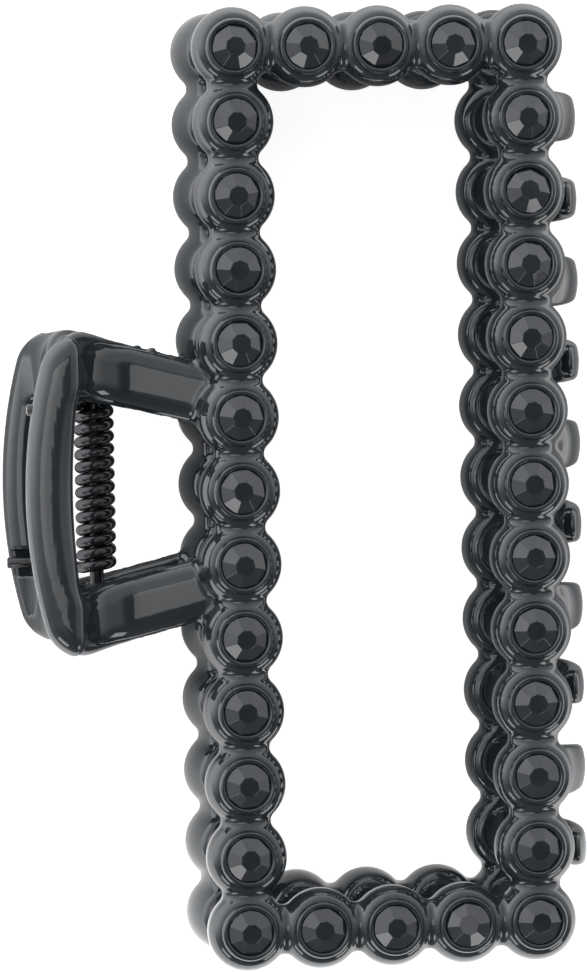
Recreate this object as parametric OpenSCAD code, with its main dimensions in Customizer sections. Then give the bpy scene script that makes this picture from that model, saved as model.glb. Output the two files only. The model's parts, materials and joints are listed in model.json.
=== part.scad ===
// Large claw hair clip: two beaded rectangular jaws that face each other,
// joined at loop handles by a pin and a torsion spring, with curved teeth
// that pass between each other on the far side.
// X runs from the handles to the teeth, Y along the hinge, Z from the rear
// jaw to the front jaw. Lengths are in millimetres.

/* [Frame] */
// Distance between the centres of neighbouring beads
bead_pitch = 8; // [7.9:0.1:8.2]
// Diameter of one bead at its belly
bead_d = 8.8; // [8.6:0.1:8.9]
// Height of the belly above the middle plane
belly_z = 8.8; // [8.6:0.1:9]
// Beads along each long side
beads_long = 13; // [11:1:13]
// Beads along each short side
beads_short = 5; // [5:1:5]
// Height of a bead's shoulder above the middle plane
shoulder_z = 10; // [9.5:0.1:10.5]
// Height of a bead's top round the cup
crest_z = 10.9; // [10.8:0.1:11.2]
// Height of the frame's inner face under the handle side
inner_z_handle = 3; // [2.6:0.1:4]
// Height of the frame's inner face under the tooth side
inner_z_tooth = 6; // [5:0.1:6.5]
// Width of the neck between two beads
neck_w = 5.3; // [4:0.1:6]
// Drop of the neck's top below the shoulder
neck_drop = 0.9; // [0.5:0.1:1.5]

/* [Stones] */
// Diameter of a stone over its corners
stone_d = 5; // [4.6:0.1:5.1]
// Diameter of the flat table on top of a stone
table_d = 2.2; // [1.6:0.1:3]
// Height of a stone from its flat back to its table
stone_h = 1.9; // [1.5:0.1:2.2]
// Height of the stone's widest band
girdle_h = 0.9; // [0.6:0.1:1.1]
// Radial gap between a stone's corners and its cup
cup_gap = 0.1; // [0.05:0.05:0.2]
// Thickness of the raised lip round a stone
lip_t = 0.35; // [0.25:0.05:0.5]
// Height of the lip above the bead's top
lip_h = 0.2; // [0.1:0.1:0.4]

/* [Teeth] */
// Distance between two teeth of one jaw
tooth_pitch = 18; // [17:0.5:19]
// Teeth on each side of a jaw's middle tooth
teeth_each_way = 2; // [1:1:2]
// Middle tooth of the front jaw, measured from the middle of the clip
tooth_y = 4.1; // [2:0.1:5]
// Width of a tooth where it leaves the frame
tooth_root_w = 5.7; // [4.5:0.1:6.2]
// Width of a tooth at its tip
tooth_tip_w = 3.2; // [2:0.1:4]
// Thickness of a tooth
tooth_t = 1.8; // [1.4:0.1:2.2]
// Outer radius of a tooth's curve
tooth_r = 8.8; // [8.4:0.1:9.2]
// Reach of a tooth's outermost point from the middle of the frame
tooth_reach = 23.4; // [23:0.1:24]
// Angle of a tooth's root above the middle plane
tooth_root_angle = 74; // [70:1:78]
// Angle of a tooth's tip past the middle plane
tooth_tip_angle = 36; // [20:1:38]

/* [Handle] */
// Distance from the middle of the frame to the grip's outermost point
grip_x = 39.75; // [39:0.25:41]
// Width of the grip seen from the front
grip_w = 5.25; // [4.75:0.05:5.5]
// Radius of the grip's outward bow
bow_r = 54.5; // [50:0.5:60]
// Height of the grip's outer face above the middle plane
grip_z = 14; // [13.5:0.1:14.5]
// Thickness of the grip
grip_t = 3; // [2.6:0.1:3.2]
// Half the handle's outer width where it leaves the frame
arm_outer_y = 14.3; // [14.1:0.1:14.7]
// Half the opening between the arms where they leave the frame
arm_inner_y = 7.3; // [7.1:0.1:7.5]
// Outward flare of an arm's outer edge
outer_flare = 14.6; // [12:0.2:16]
// Outward flare of an arm's inner edge
inner_flare = 13.2; // [11:0.2:14]
// Height of an arm's outer face where it leaves the frame
arm_root_z = 8.6; // [8.2:0.1:9]
// Height of an arm's outer face next to the grip
arm_end_z = 6.9; // [6.6:0.1:7.4]
// Thickness of an arm
arm_t = 2.6; // [2.2:0.1:2.8]
// Width of the notch that holds a spring leg
notch_w = 2.8; // [2:0.1:3.2]
// Depth of the notch in the grip's inner face
notch_depth = 1; // [0.6:0.1:1.2]

/* [Hinge] */
// Distance from the middle of the frame to the hinge axis
hinge_x = 30.8; // [30.5:0.1:31]
// Diameter of the hinge pin
pin_d = 1.55; // [1.4:0.05:1.7]
// Radial gap between the pin and the front jaw's lugs
pin_gap = 0.06; // [0.03:0.01:0.09]
// Radius of a hinge lug
lug_r = 2.5; // [2.2:0.1:2.7]
// Thickness of a hinge lug
lug_t = 1.6; // [1.4:0.1:1.8]
// Inner face of the front jaw's lugs, from the middle of the hinge
front_lug_y = 10.4; // [10.3:0.1:10.5]
// Inner face of the rear jaw's lugs, from the middle of the hinge
rear_lug_y = 12.3; // [12.3:0.1:12.4]
// Length of a chamfer on the pin's ends
pin_chamfer = 0.2; // [0.1:0.05:0.3]

/* [Spring] */
// Outside diameter of the coil
coil_d = 4.45; // [4.4:0.05:4.55]
// Diameter of the spring wire
wire_d = 1.25; // [1.1:0.05:1.25]
// Turns of the coil
coil_turns = 13; // [11:1:13]
// Position along the hinge of the leg that presses on the front grip
front_leg_y = 9.4; // [9.2:0.1:9.4]
// Position along the hinge of the leg that presses on the rear grip
rear_leg_y = -8.4; // [-8.6:0.1:-8.3]

/* [Hidden] */
$fn = 48;
JAWS = ["front", "rear"];
SIDES = ["handle_side", "tooth_side"];
ENDS = ["upper_end", "lower_end"];
function stone_name(jaw, side, n) = str(jaw, "_", side, "_stone_", n);
function group_name(jaw, end) = str(jaw, "_", end, "_stones");

// The clip lies with its rear grip on the surface below it.
mid_z = grip_z;
mid_x = (grip_x - tooth_reach) / 2;
side_x = (beads_short - 1) / 2 * bead_pitch;
end_y = (beads_long - 1) / 2 * bead_pitch;
bead_r = bead_d / 2;
edge_x = side_x + bead_r;
inner_slope = atan((inner_z_tooth - inner_z_handle) / (2 * side_x));
inner_mid_z = (inner_z_tooth + inner_z_handle) / 2;
base_z = inner_z_handle - 1;
cup_r = stone_d / 2 + cup_gap;
lip_r = cup_r + lip_t;
lip_z = crest_z + lip_h;
stone_z = shoulder_z;
neck_z = shoulder_z - neck_drop;
bow_x = bow_r - grip_x;
wire_r = wire_d / 2;
coil_r = coil_d / 2 - wire_r;
grip_in_z = grip_z - grip_t;
wall_x = -grip_x + grip_w;
wall_t = 2.7;
valley = 2.4;
foot = 0.6;
cut = 1;
lug_heel = 1;
notch_run = 1.5;
pocket_run = 3.5;
belly_foot = 1.9;
belly_waist = 0.5;
waist_drop = 3.8;
shoulder_in = 0.45;
outer_corner_r = 2.6;
inner_corner_r = 0.8;
overrun = 5;
plastic = "#16181b";
steel = "#23262a";
jet = "#0b0c0e";

function arc(cx, cy, r, from, to, steps) =
    [for (i = [0:steps]) let (a = from + (to - from) * i / steps)
        [cx + r * cos(a), cy + r * sin(a)]];

// Centre of a corner of radius r between an arm's edge, which leaves the
// frame at root_y with a flare, and a bow of radius bow.
function corner(root_y, flare, bow, r) =
    let (m = tan(flare))
    let (k = root_y - m * edge_x - r / cos(flare))
    let (b = bow_x + m * k)
    let (c = bow_x * bow_x + k * k - pow(bow - r, 2))
    let (x = (b - sqrt(b * b - (1 + m * m) * c)) / (1 + m * m))
    [x, k - m * x];

// One side of a closed outline that starts at the frame, runs out along an
// arm, round the corner and along the bow to the middle of the grip.
function half_loop(root_y, flare, bow, r) =
    let (c = corner(root_y, flare, bow, r))
    let (turn = 180 - atan(c[1] / (bow_x - c[0])))
    concat(
        [[-side_x, root_y - bead_r * tan(flare)]],
        arc(c[0], c[1], r, 90 - flare, turn, 6),
        arc(bow_x, 0, bow, turn, 180, 6));

function flipped(points) =
    [for (i = [len(points) - 2:-1:0]) [points[i][0], -points[i][1]]];

module loop_outline(root_y, flare, bow, r) {
    half = half_loop(root_y, flare, bow, r);
    polygon(concat(half, flipped(half)));
}

// Moves a shape from the middle of the clip to its resting place.
module placed() {
    translate([mid_x, 0, mid_z]) children();
}

// Turns a front-jaw shape into the rear jaw's.
module facing(jaw) {
    mirror([0, 0, jaw == "front" ? 0 : 1]) children();
}

// Pearl-shaped bead with a raised cup on its top.
module bead() {
    rotate_extrude()
        polygon([
            [0, base_z], [bead_r - belly_foot, base_z],
            [bead_r - belly_waist, belly_z - waist_drop], [bead_r, belly_z],
            [bead_r - shoulder_in, shoulder_z], [lip_r, crest_z],
            [lip_r, lip_z], [cup_r, lip_z], [cup_r, stone_z], [0, stone_z]]);
}

module neck_bar(length_x, length_y) {
    translate([-length_x / 2, -length_y / 2, base_z])
        cube([length_x, length_y, neck_z - base_z]);
}

// Rectangle of beads, thinner towards the teeth because its inner face slopes.
module frame() {
    difference() {
        union() {
            for (x = [-side_x, side_x], n = [0:beads_long - 1])
                translate([x, n * bead_pitch - end_y, 0]) bead();
            for (y = [-end_y, end_y], n = [1:beads_short - 2])
                translate([n * bead_pitch - side_x, y, 0]) bead();
            for (x = [-side_x, side_x])
                translate([x, 0, 0]) neck_bar(neck_w, 2 * end_y);
            for (y = [-end_y, end_y])
                translate([0, y, 0]) neck_bar(2 * side_x, neck_w);
        }
        translate([0, 0, inner_mid_z])
            rotate([0, -inner_slope, 0])
                translate([-2 * side_x, -2 * end_y, -2 * shoulder_z])
                    cube([4 * side_x, 4 * end_y, 2 * shoulder_z]);
    }
}

// Curved tooth that starts in the frame and crosses the middle plane.
module tooth() {
    reach = 2 * tooth_r;
    tip_z = -tooth_r * sin(tooth_tip_angle);
    intersection() {
        translate([tooth_reach - tooth_r, tooth_root_w / 2, 0])
            rotate([90, 0, 0])
                linear_extrude(tooth_root_w)
                    intersection() {
                        difference() {
                            circle(tooth_r);
                            circle(tooth_r - tooth_t);
                        }
                        polygon([
                            [0, 0],
                            [reach * cos(tooth_tip_angle), -reach * sin(tooth_tip_angle)],
                            [reach * cos(tooth_root_angle), reach * sin(tooth_root_angle)]]);
                    }
        rotate([90, 0, 90])
            linear_extrude(tooth_reach + overrun)
                polygon([
                    [-tooth_tip_w / 2, tip_z - cut], [tooth_tip_w / 2, tip_z - cut],
                    [tooth_root_w / 2, inner_z_tooth], [tooth_root_w / 2, shoulder_z],
                    [-tooth_root_w / 2, shoulder_z], [-tooth_root_w / 2, inner_z_tooth]]);
    }
}

module teeth(middle_y) {
    for (n = [-teeth_each_way:teeth_each_way])
        translate([0, middle_y + n * tooth_pitch, 0]) tooth();
}

// Side view of an arm: out from the frame, then up a wall to the grip.
module arm_profile() {
    out_x = -grip_x - cut;
    polygon([
        [-side_x, arm_root_z], [wall_x + valley, arm_end_z], [wall_x + valley / 2, arm_end_z + foot],
        [wall_x, grip_z], [out_x, grip_z], [out_x, grip_in_z],
        [wall_x - wall_t, grip_in_z], [wall_x - foot, arm_end_z - foot],
        [wall_x + foot, arm_end_z - arm_t], [-side_x, arm_root_z - arm_t]]);
}

// Loop of two arms and a bowed grip, thinned to a bar between the arms.
module handle() {
    wide = 2 * grip_z + 2 * arm_outer_y;
    bar_y = arm_inner_y - foot - (wall_x + edge_x) * tan(inner_flare);
    difference() {
        intersection() {
            linear_extrude(grip_z) loop_outline(arm_outer_y, outer_flare, bow_r, outer_corner_r);
            translate([0, wide / 2, 0])
                rotate([90, 0, 0]) linear_extrude(wide) arm_profile();
        }
        linear_extrude(grip_z + cut)
            loop_outline(arm_inner_y, inner_flare, bow_r - grip_w, inner_corner_r);
        translate([-grip_x - cut, -bar_y, 0])
            cube([grip_w + pocket_run, 2 * bar_y, grip_in_z]);
    }
}

module lug(y) {
    translate([0, y + lug_t, 0])
        rotate([90, 0, 0])
            linear_extrude(lug_t) {
                translate([-hinge_x, 0]) circle(lug_r);
                polygon([
                    [-hinge_x - lug_r, 0], [-hinge_x + lug_r, 0],
                    [-hinge_x + lug_r + lug_heel, arm_end_z - cut],
                    [-hinge_x - lug_r, arm_end_z - cut]]);
            }
}

module pin_hole(r) {
    translate([-hinge_x, 0, 0])
        rotate([90, 0, 0]) cylinder(h = 4 * rear_lug_y, r = r, center = true);
}

module leg_notch(y) {
    translate([-grip_x - cut, y - notch_w / 2, grip_in_z - cut])
        cube([grip_w + notch_run, notch_w, notch_depth + cut]);
}

module jaw(tooth_middle, lug_y, hole_r, leg_y) {
    difference() {
        union() {
            frame();
            teeth(tooth_middle);
            handle();
            lug(lug_y);
            lug(-lug_y - lug_t);
        }
        pin_hole(hole_r);
        leg_notch(leg_y);
    }
}

module front_jaw() {
    color(plastic)
        placed() jaw(tooth_y, front_lug_y, pin_d / 2 + pin_gap, front_leg_y);
}

module rear_jaw() {
    color(plastic)
        placed() facing("rear")
            jaw(tooth_y - tooth_pitch / 2, rear_lug_y, pin_d / 2, rear_leg_y);
}

module hinge_pin() {
    half = rear_lug_y + lug_t;
    r = pin_d / 2;
    color(steel)
        placed() translate([-hinge_x, 0, 0])
            rotate([90, 0, 0]) rotate_extrude()
                polygon([
                    [0, -half], [r - pin_chamfer, -half], [r, pin_chamfer - half],
                    [r, half - pin_chamfer], [r - pin_chamfer, half], [0, half]]);
}

// The wire runs from the rear grip to the coil, round it, and to the front
// grip. Points in the wire's plane are measured from the hinge axis.
steps_per_turn = 12;
wire_sides = 6;
leg_proud = 0.3;
bend = 0.8;
groove_z = grip_in_z + notch_depth - wire_r;
knee = [wall_x + hinge_x - bend, groove_z - bend];
touch_angle = atan2(knee[1], knee[0]) + acos(coil_r / norm(knee));
coil_sweep = 360 * coil_turns + 360 - 2 * touch_angle;
coil_steps = coil_turns * steps_per_turn;

function leg_end_x(y) = bow_x - sqrt(bow_r * bow_r - y * y) + hinge_x - leg_proud;

function coil_point(i) =
    let (part = i / coil_steps)
    let (a = 360 - touch_angle - part * coil_sweep)
    [coil_r * cos(a), rear_leg_y + (front_leg_y - rear_leg_y) * part, coil_r * sin(a)];

function leg_points(side, y) =
    [[leg_end_x(y), y, side * groove_z],
     [knee[0] - bend, y, side * groove_z],
     [knee[0] - bend / 3, y, side * (groove_z - bend / 3)],
     [knee[0], y, side * knee[1]]];

function reversed(list) = [for (i = [len(list) - 1:-1:0]) list[i]];

wire_path = concat(
    leg_points(-1, rear_leg_y),
    [for (i = [0:coil_steps]) coil_point(i)],
    reversed(leg_points(1, front_leg_y)));

function wire_ring(i) =
    let (last = len(wire_path) - 1)
    let (along = wire_path[min(i + 1, last)] - wire_path[max(i - 1, 0)])
    let (flat = [along[2], 0, -along[0]] / norm([along[2], -along[0]]))
    [for (k = [0:wire_sides - 1]) let (a = 360 * k / wire_sides)
        wire_path[i] + wire_r * (cos(a) * flat + sin(a) * [0, 1, 0])];

module torsion_spring() {
    rings = len(wire_path);
    n = wire_sides;
    points = [for (i = [0:rings - 1]) each wire_ring(i)];
    walls = [for (i = [0:rings - 2], k = [0:n - 1])
        [i * n + k, (i + 1) * n + k, (i + 1) * n + (k + 1) % n, i * n + (k + 1) % n]];
    color(steel)
        placed() translate([-hinge_x, 0, 0])
            polyhedron(points, concat(
                [[for (k = [0:n - 1]) k]],
                walls,
                [[for (k = [n - 1:-1:0]) (rings - 1) * n + k]]));
}

// Flat-backed stone with eight facets round a table.
module stone() {
    r = stone_d / 2;
    color(jet)
        translate([0, 0, stone_z])
            rotate_extrude($fn = 8)
                polygon([
                    [0, 0], [r, 0], [r, girdle_h], [table_d / 2, stone_h], [0, stone_h]]);
}

module side_stone(jaw, side, n) {
    x = side == "handle_side" ? -side_x : side_x;
    placed() facing(jaw)
        translate([x, end_y - (n - 1) * bead_pitch, 0]) stone();
}

module end_stones(jaw, end) {
    y = end == "upper_end" ? end_y : -end_y;
    placed() facing(jaw)
        for (n = [1:beads_short - 2])
            translate([n * bead_pitch - side_x, y, 0]) stone();
}

front_jaw();
rear_jaw();
hinge_pin();
torsion_spring();
for (j = JAWS, s = SIDES, n = [1:beads_long])
    side_stone(j, s, n);
for (j = JAWS, e = ENDS)
    end_stones(j, e);
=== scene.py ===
import json
import math
import random

import bpy
import numpy as np
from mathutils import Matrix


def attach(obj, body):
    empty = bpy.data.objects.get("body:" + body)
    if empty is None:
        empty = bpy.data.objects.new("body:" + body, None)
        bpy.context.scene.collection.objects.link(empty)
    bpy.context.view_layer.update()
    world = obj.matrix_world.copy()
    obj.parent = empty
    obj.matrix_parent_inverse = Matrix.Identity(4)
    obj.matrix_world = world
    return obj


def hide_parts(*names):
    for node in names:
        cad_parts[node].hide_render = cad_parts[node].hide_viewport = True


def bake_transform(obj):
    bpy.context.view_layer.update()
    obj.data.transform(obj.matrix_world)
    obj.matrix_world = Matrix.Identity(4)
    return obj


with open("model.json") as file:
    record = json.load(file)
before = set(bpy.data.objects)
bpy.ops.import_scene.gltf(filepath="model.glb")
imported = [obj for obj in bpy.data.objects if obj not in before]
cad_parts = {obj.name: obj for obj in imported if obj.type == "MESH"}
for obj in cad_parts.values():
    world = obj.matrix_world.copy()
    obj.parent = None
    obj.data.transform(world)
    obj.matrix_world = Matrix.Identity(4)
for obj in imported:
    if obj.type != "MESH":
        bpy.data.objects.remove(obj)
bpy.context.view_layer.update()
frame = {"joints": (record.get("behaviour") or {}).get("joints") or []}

import openvdb
from mathutils import Matrix, Vector

# Claw hair clip: two beaded jaws with curved teeth, cups with faceted stones,
# a hinge pin and a torsion spring. Design lengths are millimetres from the
# middle of the clip: x from the handles to the teeth, y along the hinge and
# z from the rear jaw to the front jaw. The frame is in metres.
MM = 0.001
FRONT, REAR = "front_half", "rear_half"

# Rows of beads
PITCH = 8.0
LONG_COUNT, SHORT_COUNT = 13, 5
SIDE_X = (SHORT_COUNT - 1) / 2 * PITCH
END_Y = (LONG_COUNT - 1) / 2 * PITCH
BEAD_R = 4.4
BELLY_Z = 8.8
BEAD_UPPER, BEAD_LOWER = 2.9, 7.5
BEAD_TOP = 10.85
BEAD_BLEND, CREST_BLEND = 0.9, 0.5
NECK_HALF = 2.65
NECK_UPPER, NECK_LOWER = 1.2, 6.5
NECK_BLEND = 0.5
NECK_STEP, NECK_EDGE = 1.3, 1.0
DISH_R, DISH_DEPTH, DISH_EDGE = 2.7, 0.4, 0.5
INNER_MID_Z = 4.5
INNER_SLOPE = 3 / 32
INNER_BLEND = 1.4

# Cups and stones
CUP_FLOOR = 10.0
CUP_R, CUP_EDGE = 2.78, 0.3
LIP_PROFILE = [
    (3.22, 10.62), (3.12, 10.80), (3.05, 10.94), (2.98, 11.04), (2.90, 11.09), (2.80, 11.10),
    (2.68, 11.09), (2.57, 11.05), (2.49, 10.98), (2.49, 10.06), (2.86, 10.06), (3.0, 10.3),
]
LIP_SIDES = 48
FACETS = 8
STONE_R = 2.5
TABLE_R = 1.1
STONE_H = 1.9
RIDGE_R = 2.42
RIDGE_H, CORNER_H, FOOT_H = 1.02, 0.84, 0.02
STONE_TILT = math.radians(1.6)
TILT_H = 0.8
FACET_BEVEL = 0.035

# Teeth
TOOTH_PITCH = 18.0
TEETH_EACH_WAY = 2
TOOTH_X = 14.6
TOOTH_OUT_R, TOOTH_IN_R = 8.8, 7.0
TOOTH_CROWN = 14
TOOTH_EDGE, TOOTH_TIP_EDGE = 0.6, 1.4
TOOTH_ROOT_HALF, TOOTH_TIP_HALF = 2.85, 1.6
TOOTH_TAPER_Z, TOOTH_TIP_Z = 6.0, -6.2
TOOTH_TIP_ANGLE, TOOTH_ROOT_ANGLE = math.radians(-36), math.radians(74)

# Handle
HINGE_X = -30.8
ROOT_X = -20.4
BOW_X, BOW_R = 14.75, 54.5
GRIP_W = 5.25
OUTER_Y, OUTER_FLARE, OUTER_CORNER = 14.3, math.radians(14.6), 4.6
INNER_Y, INNER_FLARE, INNER_CORNER = 7.3, math.radians(13.2), 1.2
ARM_R, BAR_R = 1.3, 1.5
ARM_START, ARM_END = (-14, 7.51), (-33.0, 5.5)
WALL_START, WALL_END = (-35.5, 11.7), (-32.5, 6.0)
BAR_START, BAR_END = (-35, 12.48), (-45, 12.48)
WALL_GAP, WALL_EDGE = 9.95, 0.8
WALL_BLEND, BAR_BLEND = 4.5, 1.2
OPENING_EDGE = 0.3
HANDLE_GROWTH, HANDLE_EDGE = 0.15, 2.6
HANDLE_STOP_X = -15
LUG_START, LUG_END = (HINGE_X, 0), (HINGE_X + 0.3, 3.8)
LUG_R, LUG_HALF, LUG_EDGE = 2.5, 0.8, 0.35
GATE, GATE_R, GATE_BLEND = (-25, 15.45, 6.5), 0.35, 0.3

# Spring, the grooves for its legs, and the pin
WIRE_R, WIRE_SIDES = 0.625, 14
WIRE_BEND_R, BEND_STEPS = 1.2, 8
WIRE_END, WIRE_END_SCALE = 0.12, 0.72
COIL_R = 1.6
COIL_TURNS, TURN_STEPS = 13, 36
FRONT_LEG_Y, REAR_LEG_Y = 9.4, -8.4
LEG_Z = 11.375
LEG_INSET = 0.3
KNEE_X, KNEE_DROP = -4.5, 0.8
GROOVE_HALF, GROOVE_TOP_Z, GROOVE_INNER_X, GROOVE_EDGE = 1.4, 12, -34, 0.3
PIN_PROFILE = [
    (0.45, -13.88), (0.66, -13.8), (0.755, -13.66), (0.775, -13.5),
    (0.775, 13.5), (0.755, 13.66), (0.66, 13.8), (0.45, 13.88),
]
PIN_SIDES = 32

# Blends between the parts of a jaw, and how finely its surface is sampled
TOOTH_BLEND, HANDLE_BLEND, LUG_BLEND, BORE_EDGE = 1.0, 1.0, 0.7, 0.15
CELL = 0.34
BAND = 3
PROJECTIONS = 3
JAW_LOW, JAW_HIGH = np.array([-40.6, -53.2, -6.4]), np.array([24.2, 53.4, 14.8])

MID = Vector(frame["joints"][0]["pos_m"]) / MM - Vector((HINGE_X, 0, 0))


# ---------------------------------------------------------------- fields

def smooth_min(a, b, k):
    h = np.maximum(k - np.abs(a - b), 0) / k
    return np.minimum(a, b) - h * h * k / 4


def smooth_max(a, b, k):
    return -smooth_min(-a, -b, k)


def rounded_max(a, b, r):
    """Both a and b below 0, with the edge between them rounded to radius r."""
    inside = np.minimum(np.maximum(a + r, b + r), 0)
    return inside + np.hypot(np.maximum(a + r, 0), np.maximum(b + r, 0)) - r


def capsule(u, v, start, end, r):
    """Distance to a thick line from start to end in the u-v plane."""
    du, dv = end[0] - start[0], end[1] - start[1]
    t = ((u - start[0]) * du + (v - start[1]) * dv) / (du * du + dv * dv)
    t = np.clip(t, 0, 1)
    return np.hypot(u - start[0] - t * du, v - start[1] - t * dv) - r


def oval(r, z, radius, upper, lower):
    """Distance to half an ellipsoid above the belly on a deeper one below it."""
    r = np.maximum(r, 0.01)
    half_height = np.where(z > BELLY_Z, upper, lower)
    size = np.hypot(r / radius, (z - BELLY_Z) / half_height)
    slope = np.hypot(r / radius ** 2, (z - BELLY_Z) / half_height ** 2)
    return size * (size - 1) / slope


def pearl(r, z):
    return oval(r, z, BEAD_R, BEAD_UPPER, BEAD_LOWER)


def bead_row(u, v, z, inner, count):
    """Row of beads along u on a neck bar, each with a cup on top and a dish below."""
    last = count - 1
    slot = u / PITCH + last / 2
    lower = np.floor(np.clip(slot, 0, last - 1))
    r_low = np.hypot(u - (lower - last / 2) * PITCH, v)
    r_high = np.hypot(u - (lower + 1 - last / 2) * PITCH, v)
    beads = smooth_min(pearl(r_low, z), pearl(r_high, z), BEAD_BLEND)
    beads = smooth_max(smooth_max(beads, z - BEAD_TOP, CREST_BLEND), inner, INNER_BLEND)
    bar = oval(np.abs(v), z, NECK_HALF, NECK_UPPER, NECK_LOWER)
    bar = smooth_max(bar, inner + NECK_STEP, NECK_EDGE)
    bar = np.maximum(bar, np.abs(u) - last / 2 * PITCH)
    row = smooth_min(beads, bar, NECK_BLEND)
    r = np.minimum(r_low, r_high)
    cup = np.maximum(r - CUP_R, CUP_FLOOR - z)
    dish = np.maximum(r - DISH_R, -inner - DISH_DEPTH)
    return smooth_max(smooth_max(row, -cup, CUP_EDGE), -dish, DISH_EDGE)


def frame_field(x, y, z):
    """The beaded rectangle, cut off by its sloping inner face."""
    inner = (INNER_MID_Z + INNER_SLOPE * x - z) / math.hypot(1, INNER_SLOPE)
    long_sides = bead_row(y, np.abs(x) - SIDE_X, z, inner, LONG_COUNT)
    short_sides = bead_row(x, np.abs(y) - END_Y, z, inner, SHORT_COUNT)
    return np.minimum(long_sides, short_sides)


def teeth_field(x, y, z, middle_y):
    """Five curved teeth with crowned backs and rounded tips."""
    n = np.clip(np.round((y - middle_y) / TOOTH_PITCH), -TEETH_EACH_WAY, TEETH_EACH_WAY)
    across = y - middle_y - n * TOOTH_PITCH
    r = np.hypot(x - TOOTH_X, z)
    crown = across * across / TOOTH_CROWN
    band = rounded_max(r - TOOTH_OUT_R + crown, TOOTH_IN_R - r, TOOTH_EDGE)
    taper = (TOOTH_TAPER_Z - z) / (TOOTH_TAPER_Z - TOOTH_TIP_Z)
    half = TOOTH_ROOT_HALF - (TOOTH_ROOT_HALF - TOOTH_TIP_HALF) * np.clip(taper, 0, 1)
    side = np.abs(across) - half
    tip = (x - TOOTH_X) * math.sin(TOOTH_TIP_ANGLE) - z * math.cos(TOOTH_TIP_ANGLE)
    root = z * math.cos(TOOTH_ROOT_ANGLE) - (x - TOOTH_X) * math.sin(TOOTH_ROOT_ANGLE)
    outline = rounded_max(side, tip, TOOTH_TIP_EDGE)
    return np.maximum(smooth_max(outline, band, TOOTH_EDGE), root)


def loop_edge(x, y, root_y, flare, bow, r):
    """Inside of one outline of the handle: two flared edges and a bow."""
    edge = (np.abs(y) - root_y - (ROOT_X - x) * math.tan(flare)) * math.cos(flare)
    return rounded_max(edge, np.hypot(x - BOW_X, y) - bow, r)


def handle_field(x, y, z):
    """Two crowned arms that rise into a bowed grip, thinned to a bar between them."""
    outer = loop_edge(x, y, OUTER_Y, OUTER_FLARE, BOW_R, OUTER_CORNER)
    opening = loop_edge(x, y, INNER_Y, INNER_FLARE, BOW_R - GRIP_W, INNER_CORNER)
    arm = capsule(x, z, ARM_START, ARM_END, ARM_R)
    wall = capsule(x, z, WALL_START, WALL_END, ARM_R)
    wall = smooth_max(wall, WALL_GAP - np.abs(y), WALL_EDGE)
    bar = capsule(x, z, BAR_START, BAR_END, BAR_R)
    side = smooth_min(smooth_min(arm, wall, WALL_BLEND), bar, BAR_BLEND)
    plan = smooth_max(outer, -opening, OPENING_EDGE)
    return np.maximum(smooth_max(side, plan - HANDLE_GROWTH, HANDLE_EDGE), x - HANDLE_STOP_X)


def lugs_field(x, y, z, inner_y):
    """Hinge lugs under the arms."""
    blade = capsule(x, z, LUG_START, LUG_END, LUG_R)
    return rounded_max(blade, np.abs(np.abs(y) - inner_y - LUG_HALF) - LUG_HALF, LUG_EDGE)


def jaw_field(points, jaw):
    """Distance to a jaw's surface, below 0 inside it."""
    x, y, z = points
    solid = smooth_min(frame_field(x, y, z), teeth_field(x, y, z, jaw["tooth_y"]), TOOTH_BLEND)
    solid = smooth_min(solid, handle_field(x, y, z), HANDLE_BLEND)
    solid = smooth_min(solid, lugs_field(x, y, z, jaw["lug_y"]), LUG_BLEND)
    bore = jaw["bore_r"] - np.hypot(x - HINGE_X, z)
    solid = smooth_max(solid, bore, BORE_EDGE)
    groove = np.maximum(z - GROOVE_TOP_Z, x - GROOVE_INNER_X)
    groove = np.maximum(np.abs(y - jaw["leg_y"]) - GROOVE_HALF, groove)
    solid = smooth_max(solid, -groove, GROOVE_EDGE)
    gate = np.sqrt((x - GATE[0]) ** 2 + (y - GATE[1]) ** 2 + (z - GATE[2]) ** 2) - GATE_R
    return smooth_min(solid, gate, GATE_BLEND)


# ---------------------------------------------------------------- meshes

def gradient(points, jaw, eps=0.02):
    """Slope of the field along x, y and z."""
    step = np.eye(3)[:, :, None] * eps
    slopes = [
        jaw_field(points + step[i], jaw) - jaw_field(points - step[i], jaw) for i in range(3)
    ]
    return np.array(slopes) / (2 * eps)


def jaw_surface(jaw):
    """Vertices, quads and normals of a jaw's surface, in design lengths."""
    counts = np.ceil((JAW_HIGH - JAW_LOW) / CELL).astype(int)
    axes = [JAW_LOW[i] + CELL * np.arange(counts[i]) for i in range(3)]
    x, y, z = np.meshgrid(*axes, indexing="ij")
    values = jaw_field((x, y, z), jaw)
    grid = openvdb.FloatGrid()
    grid.background = 10 * CELL
    grid.copyFromArray(np.clip(values, -BAND * CELL, BAND * CELL).astype(np.float32))
    verts, quads = grid.convertToQuads(isovalue=0.0)
    p = (JAW_LOW + CELL * verts.astype(float)).T
    for _ in range(PROJECTIONS):
        g = gradient(p, jaw)
        d = jaw_field(p, jaw)
        move = d * g / np.maximum((g * g).sum(0), 0.2)
        p = p - np.clip(move, -CELL / 3, CELL / 3)
    g = gradient(p, jaw)
    normals = g / np.maximum(np.sqrt((g * g).sum(0)), 1e-6)
    return p.T, quads.astype(np.int64), normals.T


def mesh_object(name, verts, faces):
    """An object in the scene from vertices in metres, and faces."""
    mesh = bpy.data.meshes.new(name)
    mesh.from_pydata([tuple(v) for v in verts], [], [tuple(f) for f in faces])
    mesh.validate()
    obj = bpy.data.objects.new(name, mesh)
    bpy.context.scene.collection.objects.link(obj)
    return obj


def placed(points):
    """Design lengths to the frame's metres."""
    return (np.asarray(points, float) + np.array(MID)) * MM


def smooth_quads(obj):
    """Shades the quads smooth and leaves larger faces flat."""
    for poly in obj.data.polygons:
        poly.use_smooth = len(poly.vertices) == 4


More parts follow.
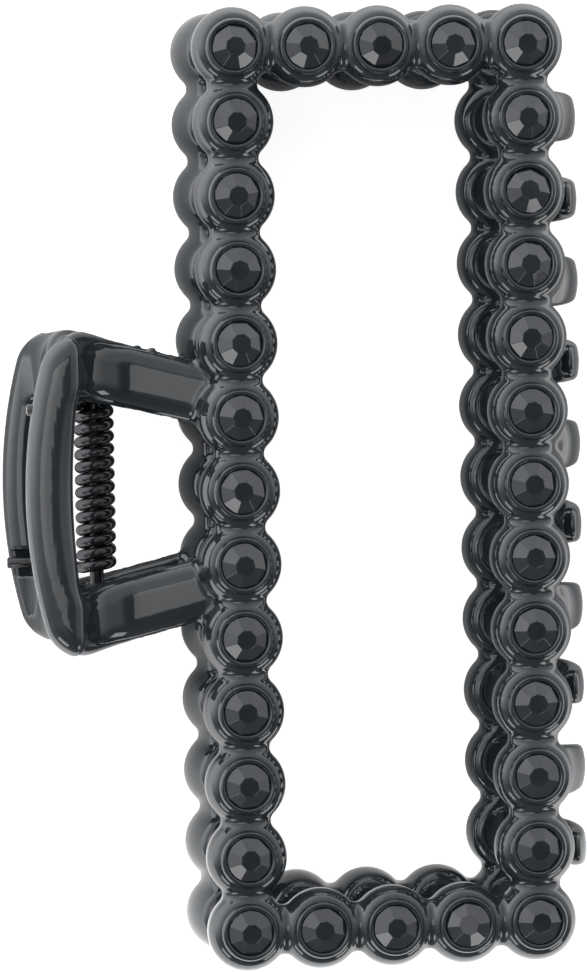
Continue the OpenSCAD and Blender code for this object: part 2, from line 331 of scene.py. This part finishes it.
def finish_piece(obj, material, nodes):
    """Gives a piece its material and hides the CAD nodes it stands for."""
    obj.data.materials.append(material)
    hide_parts(*nodes)


def build_jaw(name, jaw, facing, body, material):
    """One moulding, with the field's own slopes as its shading normals."""
    verts, quads, normals = jaw_surface(jaw)
    flip = np.array([1, 1, facing])
    verts, normals = verts * flip, normals * flip
    a, b, c = (verts[quads[:, i]] for i in range(3))
    outward = (np.cross(b - a, c - b) * normals[quads[:, 0]]).sum(1)
    if np.median(outward) < 0:
        quads = quads[:, ::-1]
    mesh = bpy.data.meshes.new(name)
    mesh.vertices.add(len(verts))
    mesh.vertices.foreach_set("co", placed(verts).astype(np.float32).ravel())
    mesh.loops.add(quads.size)
    mesh.loops.foreach_set("vertex_index", quads.ravel().astype(np.int32))
    mesh.polygons.add(len(quads))
    mesh.polygons.foreach_set("loop_start", np.arange(0, quads.size, 4, dtype=np.int32))
    mesh.polygons.foreach_set("use_smooth", np.ones(len(quads), bool))
    mesh.update(calc_edges=True)
    mesh.normals_split_custom_set_from_vertices(normals.astype(np.float32))
    obj = bpy.data.objects.new(name, mesh)
    bpy.context.scene.collection.objects.link(obj)
    finish_piece(obj, material, [name.replace("_shell", "")])
    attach(obj, body)


def lathe(profile, sides, centre):
    """Vertices and quads of a closed profile of (radius, height) turned round z."""
    verts, faces = [], []
    n = len(profile)
    for i in range(sides):
        a = 2 * math.pi * i / sides
        for r, h in profile:
            verts.append((centre[0] + r * math.cos(a), centre[1] + r * math.sin(a), h))
    for i in range(sides):
        j = (i + 1) % sides
        for k in range(n):
            m = (k + 1) % n
            faces.append((i * n + k, j * n + k, j * n + m, i * n + m))
    return verts, faces


def bead_centres():
    """Centres of all the beads of a jaw, by the CAD node that holds the stone."""
    places = {}
    for n in range(LONG_COUNT):
        y = END_Y - n * PITCH
        places[f"handle_side_stone_{n + 1}"] = [(-SIDE_X, y)]
        places[f"tooth_side_stone_{n + 1}"] = [(SIDE_X, y)]
    inner = [(i + 1) * PITCH - SIDE_X for i in range(SHORT_COUNT - 2)]
    places["upper_end_stones"] = [(x, END_Y) for x in inner]
    places["lower_end_stones"] = [(x, -END_Y) for x in inner]
    return places


def merged(parts):
    """Several (vertices, faces) as one."""
    verts, faces = [], []
    for v, f in parts:
        base = len(verts)
        verts += v
        faces += [tuple(i + base for i in face) for face in f]
    return verts, faces


def facing_parts(verts, faces, facing):
    """Mirrors a shape to the rear jaw's side, with its faces still outward."""
    if facing > 0:
        return verts, faces
    return [(x, y, -z) for x, y, z in verts], [f[::-1] for f in faces]


def build_lips(name, facing, body, material):
    """Raised lips round all the stones of a jaw."""
    parts = [
        lathe(LIP_PROFILE, LIP_SIDES, (x, y)) for spots in bead_centres().values() for x, y in spots
    ]
    verts, faces = facing_parts(*merged(parts), facing)
    obj = mesh_object(name, placed(verts), faces)
    smooth_quads(obj)
    obj.data.materials.append(material)
    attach(obj, body)


def stone_shape(rng):
    """A flat-backed stone: octagonal table, eight crown facets, small girdle facets."""
    half = math.pi / FACETS
    turn = rng.uniform(0, 2 * half)
    tilt = Matrix.Rotation(rng.gauss(0, 1) * STONE_TILT, 3, "X")
    tilt = tilt @ Matrix.Rotation(rng.gauss(0, 1) * STONE_TILT, 3, "Y")
    slope = (STONE_H - RIDGE_H) / ((RIDGE_R - TABLE_R) * math.cos(half))
    mid_h = STONE_H - slope * (STONE_R - TABLE_R * math.cos(half))
    rings = []

    def ring(r, h, first):
        start = len(rings)
        for i in range(FACETS):
            a = turn + first + 2 * math.pi * i / FACETS
            rings.append(Vector((r * math.cos(a), r * math.sin(a), h)))
        return start

    table = ring(TABLE_R, STONE_H, half)
    ridge = ring(RIDGE_R, RIDGE_H, half)
    mid = ring(STONE_R, mid_h, 0)
    corner = ring(STONE_R, CORNER_H, half)
    foot_mid = ring(STONE_R, FOOT_H, 0)
    foot_corner = ring(STONE_R, FOOT_H, half)
    faces = [tuple(table + i for i in range(FACETS))]
    under = []
    for i in range(FACETS):
        j = (i - 1) % FACETS
        faces.append((table + j, ridge + j, mid + i, ridge + i, table + i))
        faces.append((ridge + i, mid + i, corner + i))
        faces.append((ridge + j, corner + j, mid + i))
        faces.append((mid + i, foot_mid + i, foot_corner + i, corner + i))
        faces.append((corner + j, foot_corner + j, foot_mid + i, mid + i))
        under += [foot_mid + i, foot_corner + i]
    faces.append(tuple(under[::-1]))
    pivot = Vector((0, 0, TILT_H))
    crown = [tilt @ (p - pivot) + pivot if p.z > TILT_H / 2 else p for p in rings]
    return [(p.x, p.y, p.z + CUP_FLOOR) for p in crown], faces


def build_stones(jaw_name, facing, body, material):
    """All the stones of a jaw, each turned and tilted a little in its cup."""
    for key, spots in bead_centres().items():
        rng = random.Random(f"{jaw_name} {key}")
        parts = []
        for cx, cy in spots:
            verts, faces = stone_shape(rng)
            parts.append(([(x + cx, y + cy, z) for x, y, z in verts], faces))
        verts, faces = facing_parts(*merged(parts), facing)
        name = f"{jaw_name}_{key}_cut".replace("stone_", "gem_")
        obj = mesh_object(name, placed(verts), faces)
        bevel = obj.modifiers.new("edges", "BEVEL")
        bevel.width = FACET_BEVEL * MM
        bevel.segments = 2
        bevel.limit_method = "ANGLE"
        bevel.angle_limit = math.radians(12)
        finish_piece(obj, material, [f"{jaw_name}_{key}"])
        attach(obj, body)


def rounded_path(corners, radius, steps):
    """A polyline with its inner corners rounded."""
    out = [Vector(corners[0])]
    for i in range(1, len(corners) - 1):
        a, b, c = (Vector(corners[i + k]) for k in (-1, 0, 1))
        to_a, to_c = (a - b).normalized(), (c - b).normalized()
        half = to_a.angle(to_c) / 2
        cut = min(radius / math.tan(half), (a - b).length * 0.45, (c - b).length * 0.45)
        start, end = b + to_a * cut, b + to_c * cut
        for k in range(steps + 1):
            t = k / steps
            out.append((1 - t) ** 2 * start + 2 * t * (1 - t) * b + t * t * end)
    out.append(Vector(corners[-1]))
    return out


def wire_path():
    """The spring's middle line: rear leg, coil and front leg, from the hinge axis."""
    knee_z = LEG_Z - KNEE_DROP
    reach = math.hypot(KNEE_X, knee_z)
    touch = math.atan2(knee_z, KNEE_X) + math.acos(COIL_R / reach)
    sweep = 2 * math.pi * COIL_TURNS + 2 * math.pi - 2 * touch
    steps = COIL_TURNS * TURN_STEPS

    def leg(side, y):
        end_x = BOW_X - math.sqrt(BOW_R ** 2 - y * y) - HINGE_X - LEG_INSET
        touch_point = (COIL_R * math.cos(touch), y, side * COIL_R * math.sin(touch))
        corners = [(end_x, y, side * LEG_Z), (KNEE_X - 0.1, y, side * LEG_Z), touch_point]
        return rounded_path(corners, WIRE_BEND_R, BEND_STEPS)

    coil = []
    for i in range(1, steps):
        part = i / steps
        a = 2 * math.pi - touch - part * sweep
        y = REAR_LEG_Y + (FRONT_LEG_Y - REAR_LEG_Y) * part
        coil.append(Vector((COIL_R * math.cos(a), y, COIL_R * math.sin(a))))
    return leg(-1, REAR_LEG_Y) + coil + leg(1, FRONT_LEG_Y)[::-1]


def tube(path, radius, sides):
    """A round tube along a path, with its ends closed by low domes."""
    verts, faces = [], []
    side = Vector((0, 1, 0))
    last = len(path) - 1
    head = path[0] - (path[1] - path[0]).normalized() * WIRE_END
    rings = [(head, WIRE_END_SCALE, path[0], path[1])]
    for i, p in enumerate(path):
        rings.append((p, 1.0, path[max(i - 1, 0)], path[min(i + 1, last)]))
    tail = path[last] + (path[last] - path[last - 1]).normalized() * WIRE_END
    rings.append((tail, WIRE_END_SCALE, path[last - 1], path[last]))
    for centre, scale, before, after in rings:
        along = (after - before).normalized()
        side = (side - along * side.dot(along)).normalized()
        up = along.cross(side)
        for k in range(sides):
            a = 2 * math.pi * k / sides
            verts.append(centre + (side * math.cos(a) + up * math.sin(a)) * radius * scale)
    n = len(rings)
    for i in range(n - 1):
        for k in range(sides):
            m = (k + 1) % sides
            faces.append((i * sides + k, i * sides + m, (i + 1) * sides + m, (i + 1) * sides + k))
    faces.append(tuple(range(sides))[::-1])
    faces.append(tuple((n - 1) * sides + k for k in range(sides)))
    return [tuple(v + Vector((HINGE_X, 0, 0))) for v in verts], faces


def build_spring(material):
    """Torsion spring: its coil winds up between the two jaws' legs."""
    verts, faces = tube(wire_path(), WIRE_R, WIRE_SIDES)
    obj = mesh_object("spring_wire", placed(verts), faces)
    smooth_quads(obj)
    finish_piece(obj, material, ["torsion_spring"])
    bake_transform(obj)


def build_pin(material):
    """Hinge pin with rounded ends."""
    verts, faces = [], []
    n = len(PIN_PROFILE)
    for i in range(PIN_SIDES):
        a = 2 * math.pi * i / PIN_SIDES
        for r, h in PIN_PROFILE:
            verts.append((HINGE_X + r * math.cos(a), h, -r * math.sin(a)))
    for i in range(PIN_SIDES):
        j = (i + 1) % PIN_SIDES
        for k in range(n - 1):
            faces.append((i * n + k, j * n + k, j * n + k + 1, i * n + k + 1))
    faces.append(tuple(i * n for i in range(PIN_SIDES))[::-1])
    faces.append(tuple(i * n + n - 1 for i in range(PIN_SIDES)))
    obj = mesh_object("pin_rod", placed(verts), faces)
    smooth_quads(obj)
    finish_piece(obj, material, ["hinge_pin"])
    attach(obj, REAR)


# ---------------------------------------------------------------- materials

def new_material(name):
    """A material with an empty principled shader, its node maker and its linker."""
    mat = bpy.data.materials.new(name)
    mat.use_nodes = True
    nodes, links = mat.node_tree.nodes, mat.node_tree.links
    shader = nodes["Principled BSDF"]
    coords = nodes.new("ShaderNodeTexCoord").outputs["Object"]
    return mat, nodes, links, shader, coords


def noise(nodes, links, coords, scale, detail):
    tex = nodes.new("ShaderNodeTexNoise")
    tex.inputs["Scale"].default_value = scale
    tex.inputs["Detail"].default_value = detail
    links.new(coords, tex.inputs["Vector"])
    return tex.outputs["Fac"]


def ramp(nodes, links, factor, stops):
    """Colour along a factor, from (position, colour) stops."""
    node = nodes.new("ShaderNodeValToRGB")
    elements = node.color_ramp.elements
    for i, (at, colour) in enumerate(stops):
        element = elements[i] if i < 2 else elements.new(at)
        element.position = at
        element.color = (*colour, 1)
    links.new(factor, node.inputs["Fac"])
    return node.outputs["Color"]


def spread(nodes, links, factor, low, high, start=0.3, end=0.7):
    """Maps values from start to end, a noise's usual ones, to the range from low to high."""
    node = nodes.new("ShaderNodeMapRange")
    node.inputs["From Min"].default_value = start
    node.inputs["From Max"].default_value = end
    node.inputs["To Min"].default_value = low
    node.inputs["To Max"].default_value = high
    links.new(factor, node.inputs["Value"])
    return node.outputs["Result"]


def bump(nodes, links, layers):
    """Normal from a chain of bumps, given as (height, distance in metres) pairs."""
    normal = None
    for height, distance in layers:
        node = nodes.new("ShaderNodeBump")
        node.inputs["Distance"].default_value = distance
        links.new(height, node.inputs["Height"])
        if normal is not None:
            links.new(normal, node.inputs["Normal"])
        normal = node.outputs["Normal"]
    return normal


def black_plastic():
    """Polished black injection-moulded plastic with a faint flow pattern."""
    mat, nodes, links, shader, coords = new_material("black_plastic_finish")
    flow = noise(nodes, links, coords, 90, 3)
    wave = noise(nodes, links, coords, 420, 1)
    grain = noise(nodes, links, coords, 5200, 2)
    colour = ramp(nodes, links, flow, [(0.3, (0.010, 0.013, 0.016)), (0.7, (0.016, 0.020, 0.024))])
    links.new(colour, shader.inputs["Base Color"])
    links.new(spread(nodes, links, wave, 0.045, 0.10), shader.inputs["Roughness"])
    normal = bump(nodes, links, [(wave, 0.00002), (grain, 0.0000006)])
    links.new(normal, shader.inputs["Normal"])
    shader.inputs["IOR"].default_value = 1.52
    return mat


def jet_stone():
    """Black acrylic stone with crisp facets."""
    mat, nodes, links, shader, coords = new_material("jet_stone_finish")
    cloud = noise(nodes, links, coords, 300, 2)
    polish = noise(nodes, links, coords, 1500, 2)
    colour = ramp(nodes, links, cloud, [(0.3, (0.008, 0.010, 0.013)), (0.7, (0.013, 0.016, 0.020))])
    links.new(colour, shader.inputs["Base Color"])
    links.new(spread(nodes, links, polish, 0.03, 0.05), shader.inputs["Roughness"])
    links.new(bump(nodes, links, [(polish, 0.0000003)]), shader.inputs["Normal"])
    shader.inputs["IOR"].default_value = 1.5
    return mat


def dark_steel():
    """Blackened spring steel, a little worn."""
    mat, nodes, links, shader, coords = new_material("dark_steel_finish")
    wear = noise(nodes, links, coords, 900, 3)
    scratch = noise(nodes, links, coords, 4000, 3)
    colour = ramp(nodes, links, wear, [(0.35, (0.014, 0.015, 0.017)), (0.7, (0.032, 0.032, 0.035))])
    links.new(colour, shader.inputs["Base Color"])
    links.new(spread(nodes, links, scratch, 0.08, 0.18), shader.inputs["Roughness"])
    links.new(bump(nodes, links, [(scratch, 0.000002)]), shader.inputs["Normal"])
    shader.inputs["Metallic"].default_value = 0.6
    return mat


def pale_floor():
    """A white floor with painted light: its glow fades to nothing near the clip as painted shade,
    and camera rays see it evenly white.
    """
    mat, nodes, links, shader, coords = new_material("pale_floor")
    tone = noise(nodes, links, coords, 12, 3)
    colour = ramp(nodes, links, tone, [(0.3, (0.50, 0.50, 0.50)), (0.7, (0.53, 0.53, 0.53))])
    links.new(colour, shader.inputs["Base Color"])
    shader.inputs["Roughness"].default_value = 0.7
    # Painted shade: the glow grows with distance from a point under the clip and is zero within 45
    # mm, standing in for the floor shaded by the clip.
    distance = nodes.new("ShaderNodeVectorMath")
    distance.operation = "DISTANCE"
    distance.inputs[1].default_value = (0.02, 0.01, 0)
    links.new(coords, distance.inputs[0])
    painted_floor_glow = spread(nodes, links, distance.outputs["Value"], 0.0, 2.8, 0.045, 0.10)
    # Painted light: camera rays see a flat glow of 0.8 that paints out the floor's shadows, and all
    # other rays see the distance glow.
    painted_glow_per_ray = nodes.new("ShaderNodeMix")
    painted_glow_per_ray.inputs["B"].default_value = 0.8
    links.new(nodes.new("ShaderNodeLightPath").outputs["Is Camera Ray"], painted_glow_per_ray.inputs["Factor"])
    links.new(painted_floor_glow, painted_glow_per_ray.inputs["A"])
    shader.inputs["Emission Color"].default_value = (1, 1, 1, 1)
    links.new(painted_glow_per_ray.outputs["Result"], shader.inputs["Emission Strength"])
    return mat


# ---------------------------------------------------------------- studio

CAMERA_TURNS = [("Y", -8.71), ("X", -2.84), ("Z", -1.04)]
CAMERA_SPOT = (-8.66, -0.28, 600)
CAMERA_LENS = 200.9
LIGHT_DISTANCE = 0.9


def build_camera():
    """A long lens in front of the clip and a little to the handle side."""
    turn = Matrix.Identity(3)
    for axis, degrees in CAMERA_TURNS:
        turn = turn @ Matrix.Rotation(math.radians(degrees), 3, axis)
    data = bpy.data.cameras.new("camera")
    data.lens = CAMERA_LENS
    data.clip_start, data.clip_end = 0.02, 10
    cam = bpy.data.objects.new("camera", data)
    bpy.context.scene.collection.objects.link(cam)
    spot = turn @ Vector(CAMERA_SPOT) + MID
    cam.matrix_world = Matrix.Translation(spot * MM) @ turn.to_4x4()
    bpy.context.scene.camera = cam


def area_light(name, direction, size, radiance):
    """A softbox that faces the clip from a direction, of a given radiance."""
    data = bpy.data.lights.new(name, "AREA")
    data.shape = "RECTANGLE"
    data.size, data.size_y = size
    data.energy = radiance * math.pi * size[0] * size[1]
    obj = bpy.data.objects.new(name, data)
    bpy.context.scene.collection.objects.link(obj)
    towards = Vector(direction).normalized()
    obj.location = MID * MM + towards * LIGHT_DISTANCE
    obj.rotation_euler = towards.to_track_quat("Z", "Y").to_euler()


def build_floor(material):
    """A pale floor under the clip."""
    n, reach = 24, 1.5
    steps = [reach * (2 * i / n - 1) for i in range(n + 1)]
    verts = [(x, y, 0.0) for x in steps for y in steps]
    faces = []
    for i in range(n):
        for j in range(n):
            a = i * (n + 1) + j
            faces.append((a, a + n + 1, a + n + 2, a + 1))
    obj = mesh_object("floor", verts, faces)
    obj.data.materials.append(material)


def product(nodes, links, *factors):
    """All the factors multiplied together."""
    result = factors[0]
    for factor in factors[1:]:
        node = nodes.new("ShaderNodeMath")
        node.operation = "MULTIPLY"
        links.new(result, node.inputs[0])
        links.new(factor, node.inputs[1])
        result = node.outputs["Value"]
    return result


def build_sky():
    """Soft white surroundings: brightest low down and on the left, dim overhead."""
    world = bpy.data.worlds.new("studio")
    bpy.context.scene.world = world
    world.use_nodes = True
    nodes, links = world.node_tree.nodes, world.node_tree.links
    towards = nodes.new("ShaderNodeTexCoord").outputs["Generated"]
    split = nodes.new("ShaderNodeSeparateXYZ")
    links.new(towards, split.inputs["Vector"])
    overhead = nodes.new("ShaderNodeVectorMath")
    overhead.operation = "DOT_PRODUCT"
    overhead.inputs[1].default_value = (0.15, -0.05, 0.987)
    links.new(towards, overhead.inputs[0])
    low = spread(nodes, links, overhead.outputs["Value"], 2.4, 1.2, 0.1, 0.7)
    hole = spread(nodes, links, overhead.outputs["Value"], 1.0, 0.22, 0.93, 0.985)
    end = spread(nodes, links, split.outputs["Y"], 0.2, 1.0, -0.35, 0.1)
    left = spread(nodes, links, split.outputs["X"], 1.6, 1.0, -0.8, 0.0)
    background = nodes["Background"]
    links.new(product(nodes, links, low, hole, end, left), background.inputs["Strength"])
    background.inputs["Color"].default_value = (0.98, 0.99, 1, 1)


def build_studio():
    """Sky, plain colour transform and three softboxes."""
    build_sky()
    bpy.context.scene.view_settings.view_transform = "Standard"
    area_light("low_left_box", (-0.6, -0.75, 0.45), (0.3, 0.3), 4.5)
    area_light("low_right_box", (0.6, -0.75, 0.45), (0.3, 0.3), 4.5)
    area_light("top_box", (-0.21, 0.0, 0.97), (0.26, 0.5), 1.6)


# ---------------------------------------------------------------- assembly

JAWS = {
    "front": (dict(tooth_y=4.1, lug_y=10.4, bore_r=0.84, leg_y=FRONT_LEG_Y), 1, FRONT),
    "rear": (dict(tooth_y=-4.9, lug_y=12.3, bore_r=0.79, leg_y=REAR_LEG_Y), -1, REAR),
}

build_camera()
build_floor(pale_floor())
build_studio()
plastic, steel, jet = black_plastic(), dark_steel(), jet_stone()
for jaw_name, (jaw, facing, body) in JAWS.items():
    build_jaw(f"{jaw_name}_jaw_shell", jaw, facing, body, plastic)
    build_lips(f"{jaw_name}_cup_lips", facing, body, plastic)
    build_stones(jaw_name, facing, body, jet)
build_pin(steel)
build_spring(steel)
